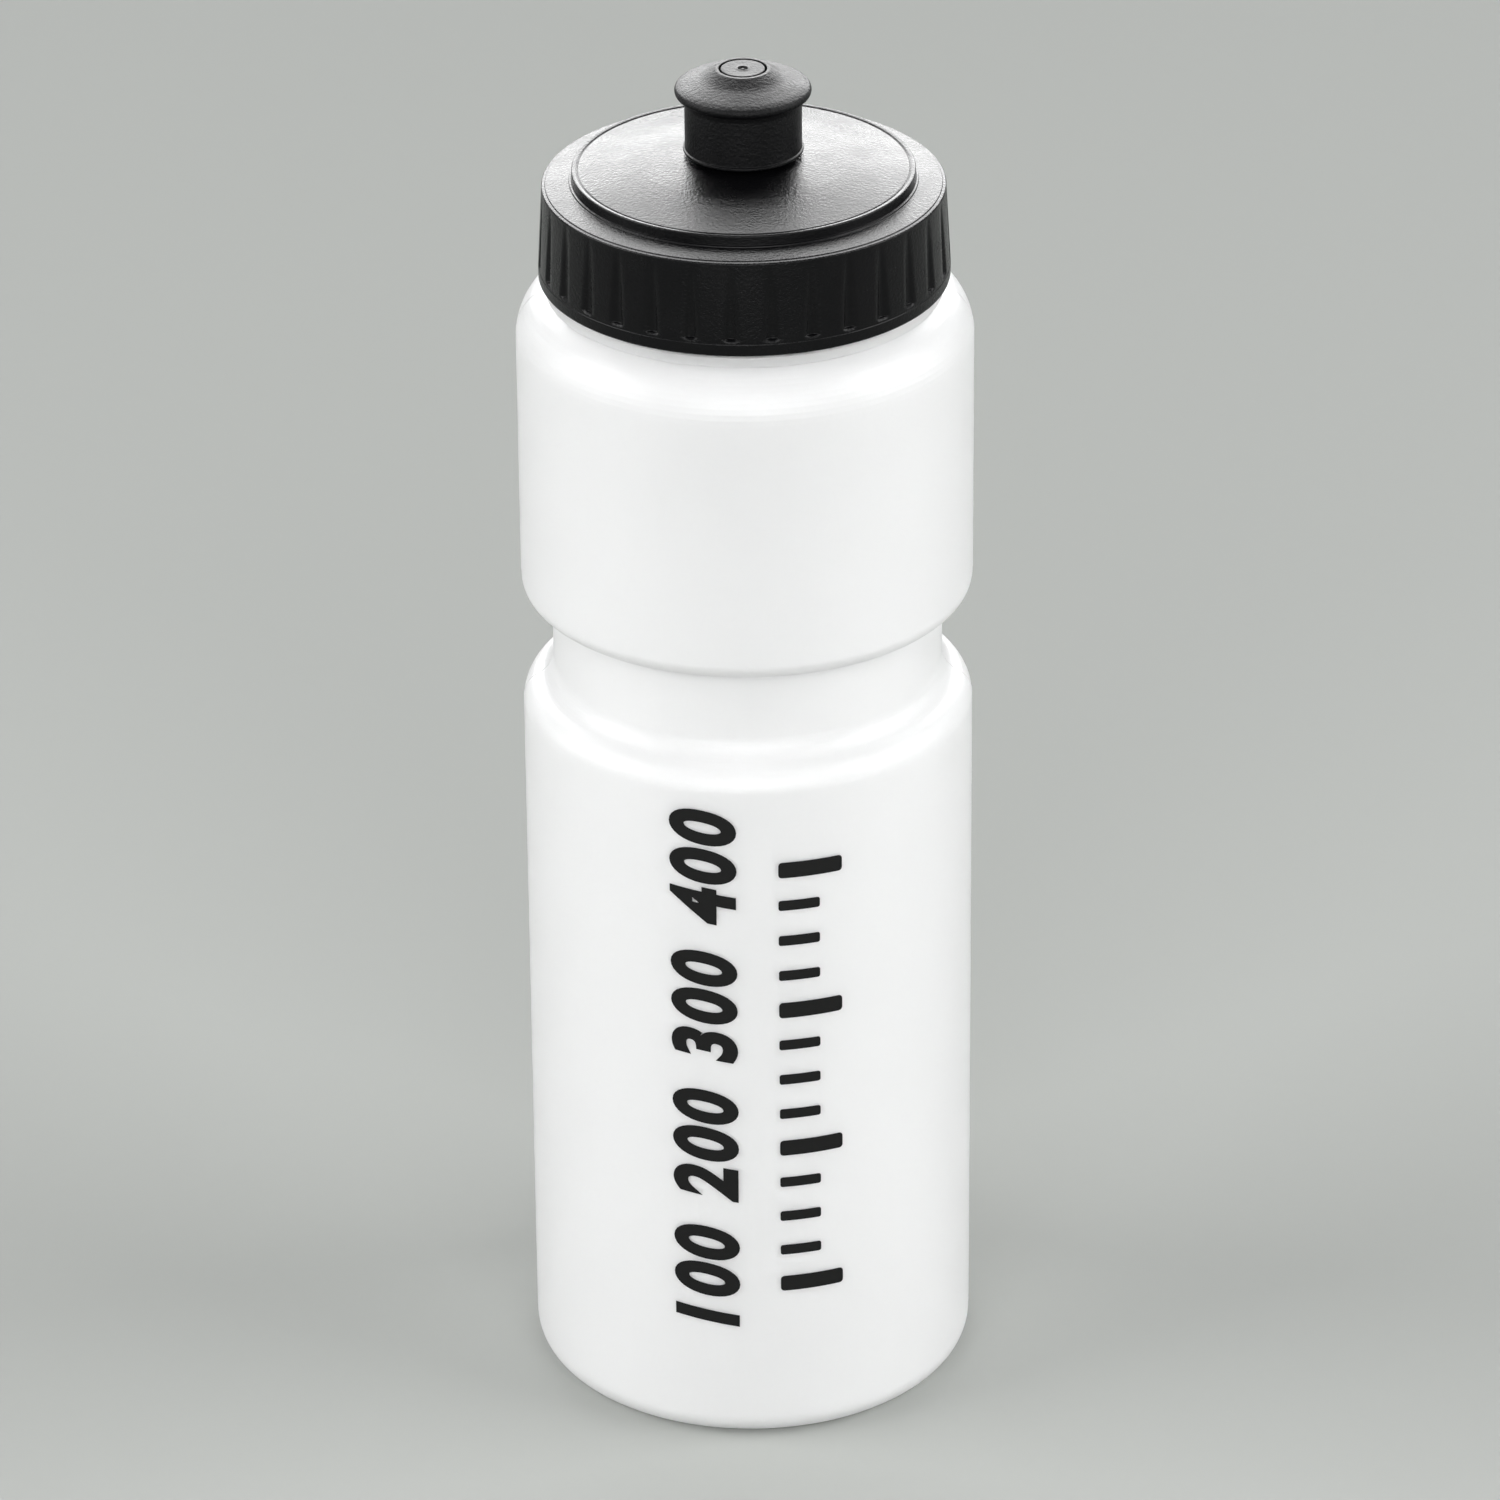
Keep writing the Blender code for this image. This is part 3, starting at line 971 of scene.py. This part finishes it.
def pin_outline():
    """Centre pin with the small crater that its moulding gate leaves in its tip."""
    foot = CAP_SKIRT_LOW + PLATEAU_HEIGHT - PIN_FOOT_DROP
    return rounded(
        [
            (0.0, PIN_TOP - 0.1, 0),
            (0.25, PIN_TOP - 0.12, 0.06),
            (0.35, PIN_TOP - 0.3, 0.06),
            (0.6, PIN_TOP - 0.3, 0.06),
            (0.85, PIN_TOP + 0.04, 0.1),
            (1.3, PIN_TOP - 0.06, 0.3),
            (PIN_RADIUS, PIN_TOP, 0.22),
            (PIN_RADIUS, foot, 0.3),
            (0.0, foot, 0),
        ]
    )


def valve_outline():
    """Lip, concave flank, domed flange, sleeve and foot bead outside, then the bore."""
    flange = VALVE_TOP - FLANGE_DROP
    radius = FLANGE_RADIUS - 0.05
    sleeve = VALVE_SLEEVE_RADIUS
    roof = flange + VALVE_ROOF_RISE
    return rounded(
        [
            (VALVE_HOLE, VALVE_TOP, 0.15),
            (VALVE_HOLE + VALVE_LIP, VALVE_TOP, 0.25),
            (6.4, flange + 1.85, 5.0),
            (9.7, flange + 0.75, 3.0),
            (radius, flange + 0.05, 0.9),
            (radius - 0.3, flange - 0.95, 0.5),
            (sleeve + 0.2, flange - 1.5, 0.45),
            (sleeve, flange - 2.4, 0.5),
            (sleeve, VALVE_FOOT + 0.55, 0.1),
            (sleeve + VALVE_FOOT_BEAD, VALVE_FOOT + 0.42, 0.12),
            (sleeve + VALVE_FOOT_BEAD, VALVE_FOOT, 0.16),
            (VALVE_SNAP_BORE, VALVE_FOOT, 0.2),
            (VALVE_SNAP_BORE, VALVE_FOOT + 0.9, 0.1),
            (VALVE_BORE, VALVE_FOOT + 1.4, 0.1),
            (VALVE_BORE, roof, 0.3),
            (VALVE_HOLE, roof, 0.2),
        ]
    )


def seal_outline():
    """Flat ring with softened edges and a shallow groove where the rim presses."""
    inner = SEAL_RADIUS - SEAL_WIDTH
    middle = SEAL_RADIUS - SEAL_WIDTH / 2
    return rounded(
        [
            (inner, SEAL_TOP, 0.2),
            (SEAL_RADIUS, SEAL_TOP, 0.2),
            (SEAL_RADIUS, SEAL_FOOT, 0.2),
            (middle + SEAL_GROOVE_HALF_WIDTH, SEAL_FOOT, 0.05),
            (middle, SEAL_FOOT + SEAL_GROOVE_DEPTH, 0.1),
            (middle - SEAL_GROOVE_HALF_WIDTH, SEAL_FOOT, 0.05),
            (inner, SEAL_FOOT, 0.2),
        ]
    )


def parting_line(name, outline, material):
    """The fine witness line that the two mould halves leave, down both sides and under the base."""
    curve = bpy.data.curves.new(name, "CURVE")
    curve.dimensions = "3D"
    curve.bevel_depth = PARTING_LINE_RADIUS * MM
    curve.bevel_resolution = 1
    curve.use_fill_caps = True
    below_ring = [point for point in outline if point.y < NECK_RING_TOP - PARTING_LINE_DROP]
    right = [(point.x * MM, 0.0, point.y * MM) for point in below_ring]
    left = [(-x, y, z) for x, y, z in reversed(right[:-1])]
    spline = curve.splines.new("POLY")
    spline.points.add(len(right) + len(left) - 1)
    for point, place in zip(spline.points, right + left):
        point.co = (*place, 1.0)
    guide = bpy.data.objects.new(f"{name}_guide", curve)
    bpy.context.scene.collection.objects.link(guide)
    graph = bpy.context.evaluated_depsgraph_get()
    mesh = bpy.data.meshes.new_from_object(guide.evaluated_get(graph))
    bpy.data.objects.remove(guide, do_unlink=True)
    mesh.name = name
    shape = bmesh.new()
    shape.from_mesh(mesh)
    bmesh.ops.remove_doubles(shape, verts=shape.verts, dist=MERGE_DISTANCE)
    bmesh.ops.recalc_face_normals(shape, faces=shape.faces)
    shape.to_mesh(mesh)
    shape.free()
    mesh.materials.clear()
    mesh.materials.append(material)
    mesh.shade_smooth()
    piece = bpy.data.objects.new(name, mesh)
    bpy.context.scene.collection.objects.link(piece)
    return piece


def web_slice():
    """One radial web between the centre pin and the chimney's wall, its edges rounded."""
    inner = PIN_RADIUS - WEB_SEAT
    outer = CHIMNEY_BORE + WEB_SEAT
    low = CAP_SKIRT_LOW + PLATEAU_HEIGHT - WEB_FOOT_DROP
    high = low + WEB_HEIGHT
    shape = bmesh.new()
    size = Matrix.Diagonal(((outer - inner) * MM, WEB_WIDTH * MM, (high - low) * MM, 1.0))
    centre = Vector(((outer + inner) / 2, 0.0, (high + low) / 2)) * MM
    bmesh.ops.create_cube(shape, size=1.0, matrix=Matrix.Translation(centre) @ size)
    bmesh.ops.bevel(
        shape, geom=shape.edges[:], offset=WEB_EDGE * MM, segments=2, affect="EDGES", profile=0.5
    )
    mesh = bpy.data.meshes.new("web_slice")
    shape.to_mesh(mesh)
    shape.free()
    return mesh


# Settings, operators and panel


class BottleSettings(PropertyGroup):
    """Sizes and colours of the bottle"""

    waist_radius: FloatProperty(
        name="Waist Radius",
        description="Outer radius of the recessed grip waist",
        default=31.5 * MM,
        unit="LENGTH",
    )
    thread_pitch: FloatProperty(
        name="Thread Pitch",
        description="How far the cap rises in one turn",
        default=4.0 * MM,
        unit="LENGTH",
    )
    flute_count: IntProperty(
        name="Grip Flutes",
        description="Number of flutes round the cap's skirt",
        default=32,
        min=8,
    )
    flute_depth: FloatProperty(
        name="Flute Depth",
        description="Depth of a flute at its lower end",
        default=0.6 * MM,
        unit="LENGTH",
    )
    tick_count: IntProperty(
        name="Scale Bars", description="Number of bars in the printed scale", default=13, min=1
    )
    ticks_per_number: IntProperty(
        name="Bars per Number", description="Bars from one number to the next", default=4, min=1
    )
    tick_volume: IntProperty(
        name="Bar Volume", description="Millilitres from one bar to the next", default=25, min=1
    )
    first_volume: IntProperty(
        name="First Volume", description="Millilitres at the lowest bar", default=100, min=0
    )
    numeral_size: FloatProperty(
        name="Numeral Size",
        description="Font size of the printed numbers",
        default=14.0 * MM,
        unit="LENGTH",
    )
    bottle_colour: FloatVectorProperty(
        name="Bottle Colour",
        description="Colour of the natural polyethylene",
        subtype="COLOR",
        size=3,
        default=linear("#F8F8F8"),
    )
    cap_colour: FloatVectorProperty(
        name="Cap Colour",
        description="Colour of the cap and the valve",
        subtype="COLOR",
        size=3,
        default=linear("#050506"),
    )
    ink_colour: FloatVectorProperty(
        name="Ink Colour",
        description="Colour of the printed scale",
        subtype="COLOR",
        size=3,
        default=linear("#070707"),
    )
    floor_colour: FloatVectorProperty(
        name="Floor Colour",
        description="Colour of the stage",
        subtype="COLOR",
        size=3,
        default=linear("#A8AAA7"),
    )


class SQUEEZE_BOTTLE_OT_body(Operator):
    """Add the bottle, its neck thread and its parting line"""

    bl_idname = "squeeze_bottle.body"
    bl_label = "Bottle Body"

    def execute(self, context):
        settings = context.scene.squeeze_bottle
        material = ldpe_material(settings)
        outer, outline = bottle_outline(settings)
        shell = turned("bottle_shell", outline, material)
        attach(shell, "bottle", "bottle", "bottle_body")
        ridge = thread(
            "neck_thread",
            NECK_RADIUS + THREAD_SEAT,
            BOTTLE_THREAD_START,
            0.0,
            settings,
            material,
        )
        attach(ridge, "bottle", "bottle")
        witness = parting_line("parting_line", outer, material)
        attach(witness, "bottle", "bottle")
        return {"FINISHED"}


class SQUEEZE_BOTTLE_OT_print(Operator):
    """Add the printed volume scale on the front and on the back"""

    bl_idname = "squeeze_bottle.print"
    bl_label = "Printed Scale"

    def execute(self, context):
        settings = context.scene.squeeze_bottle
        material = ink_material(settings)
        for name, side in (("front_scale", 0.0), ("back_scale", math.pi)):
            piece = printed_scale(name, side, settings, material)
            attach(piece, "bottle", "bottle")
        return {"FINISHED"}


class SQUEEZE_BOTTLE_OT_seal(Operator):
    """Add the sealing ring inside the cap"""

    bl_idname = "squeeze_bottle.seal"
    bl_label = "Sealing Ring"

    def execute(self, context):
        ring = turned("sealing_ring", seal_outline(), seal_material())
        attach(ring, "seal", "seal", "cap_seal")
        return {"FINISHED"}


class SQUEEZE_BOTTLE_OT_cap(Operator):
    """Add the screw cap, its thread, and the pin and webs inside its chimney"""

    bl_idname = "squeeze_bottle.cap"
    bl_label = "Screw Cap"

    def execute(self, context):
        settings = context.scene.squeeze_bottle
        material = black_plastic_material("black_polypropylene_grained", settings, 0.2, 0.5)
        shell = turned(
            "cap_shell",
            cap_outline(),
            material,
            count=settings.flute_count,
            columns=12,
            phase=FLUTE_PHASE,
            longest=LONGEST_CAP_RUN,
            bend=flute_bend(settings),
        )
        attach(shell, "cap", "cap", "screw_cap")
        start = BOTTLE_THREAD_START - settings.thread_pitch / MM / 2 + CAP_THREAD_LIFT
        radius = CAP_BORE - THREAD_SEAT
        ridge = thread("cap_thread", radius, start, CAP_THREAD_TURN, settings, material)
        attach(ridge, "cap", "cap")
        dull = black_plastic_material("black_polypropylene_matt", settings, 0.42, 0.5)
        pin = turned("centre_pin", pin_outline(), dull, count=24, columns=3)
        attach(pin, "cap", "cap")
        values = {"Count": WEB_COUNT, "Phase": WEB_PHASE, "Material": material}
        webs = apply_nodes(web_slice(), "pin_webs", repeat_round_nodes(), values)
        attach(webs, "cap", "cap")
        return {"FINISHED"}


class SQUEEZE_BOTTLE_OT_valve(Operator):
    """Add the push-pull valve"""

    bl_idname = "squeeze_bottle.valve"
    bl_label = "Push-Pull Valve"

    def execute(self, context):
        settings = context.scene.squeeze_bottle
        material = black_plastic_material("black_polyethylene_grained", settings, 0.38, 0.8)
        sleeve = turned("valve_sleeve", valve_outline(), material)
        attach(sleeve, "valve", "valve", "push_pull_valve")
        return {"FINISHED"}


class SQUEEZE_BOTTLE_OT_stage(Operator):
    """Add the floor, the lights and the camera"""

    bl_idname = "squeeze_bottle.stage"
    bl_label = "Stage"

    def execute(self, context):
        settings = context.scene.squeeze_bottle
        scene = context.scene
        add_floor(settings)
        add_lights(scene)
        add_camera(scene)
        scene.view_settings.view_transform = "Standard"
        return {"FINISHED"}


def add_floor(settings):
    """A round board far wider than any view."""
    shape = bmesh.new()
    bmesh.ops.create_circle(shape, cap_ends=True, segments=FLOOR_SEGMENTS, radius=FLOOR_RADIUS)
    mesh = bpy.data.meshes.new("floor")
    shape.to_mesh(mesh)
    shape.free()
    mesh.materials.append(floor_material(settings))
    floor = bpy.data.objects.new("floor", mesh)
    bpy.context.scene.collection.objects.link(floor)


def add_lights(scene):
    """Softboxes that aim at the bottle, in air that darkens from the horizon to the zenith."""
    for name, place, width, depth, power, lights_matt in SOFTBOXES:
        lamp = bpy.data.lights.new(name, "AREA")
        lamp.shape = "RECTANGLE"
        lamp.size = width
        lamp.size_y = depth
        lamp.energy = power
        light = bpy.data.objects.new(name, lamp)
        scene.collection.objects.link(light)
        light.location = place
        light.visible_camera = False
        light.visible_diffuse = lights_matt
        aim = AIM_POINT - Vector(place)
        light.rotation_euler = aim.to_track_quat("-Z", "Y").to_euler()
    world = bpy.data.worlds.new("studio_air")
    world.use_nodes = True
    background = world.node_tree.nodes["Background"]
    background.inputs["Color"].default_value = (*linear("#F4F6F8"), 1.0)
    direction = add_node(world.node_tree, "ShaderNodeTexCoord")
    split = add_node(
        world.node_tree, "ShaderNodeSeparateXYZ", {"Vector": direction.outputs["Generated"]}
    )
    fade = add_node(
        world.node_tree,
        "ShaderNodeMapRange",
        {"Value": split.outputs["Z"], "To Min": HORIZON_STRENGTH, "To Max": ZENITH_STRENGTH},
    )
    world.node_tree.links.new(fade.outputs["Result"], background.inputs["Strength"])
    scene.world = world


def add_camera(scene):
    """One long lens, a little above the bottle's top and looking down on its middle."""
    data = bpy.data.cameras.new("camera")
    data.lens = CAMERA_LENS
    data.sensor_width = CAMERA_SENSOR
    data.clip_start = 0.05
    data.clip_end = 50.0
    camera = bpy.data.objects.new("camera", data)
    scene.collection.objects.link(camera)
    away = Vector((0.0, -math.cos(CAMERA_ELEVATION), math.sin(CAMERA_ELEVATION)))
    camera.location = AIM_POINT + away * CAMERA_DISTANCE
    facing = (-away).to_track_quat("-Z", "Y").to_matrix().to_4x4()
    roll = Matrix.Rotation(CAMERA_ROLL, 4, "Z")
    camera.matrix_world = Matrix.Translation(camera.location) @ facing @ roll
    scene.camera = camera


class SQUEEZE_BOTTLE_PT_panel(Panel):
    """Squeeze bottle tools"""

    bl_idname = "SQUEEZE_BOTTLE_PT_panel"
    bl_label = "Squeeze Bottle"
    bl_space_type = "VIEW_3D"
    bl_region_type = "UI"
    bl_category = "Bottle"

    def draw(self, context):
        settings = context.scene.squeeze_bottle
        for name in BottleSettings.__annotations__:
            self.layout.prop(settings, name)
        for operator in OPERATORS:
            self.layout.operator(operator.bl_idname)


OPERATORS = (
    SQUEEZE_BOTTLE_OT_body,
    SQUEEZE_BOTTLE_OT_print,
    SQUEEZE_BOTTLE_OT_seal,
    SQUEEZE_BOTTLE_OT_cap,
    SQUEEZE_BOTTLE_OT_valve,
    SQUEEZE_BOTTLE_OT_stage,
)
CLASSES = (BottleSettings, *OPERATORS, SQUEEZE_BOTTLE_PT_panel)


def register():
    for item in CLASSES:
        bpy.utils.register_class(item)
    bpy.types.Scene.squeeze_bottle = PointerProperty(type=BottleSettings)


def unregister():
    del bpy.types.Scene.squeeze_bottle
    for item in reversed(CLASSES):
        bpy.utils.unregister_class(item)


def main():
    register()
    bpy.ops.squeeze_bottle.body()
    bpy.ops.squeeze_bottle.print()
    bpy.ops.squeeze_bottle.seal()
    bpy.ops.squeeze_bottle.cap()
    bpy.ops.squeeze_bottle.valve()
    bpy.ops.squeeze_bottle.stage()


if __name__ == "__main__":
    main()
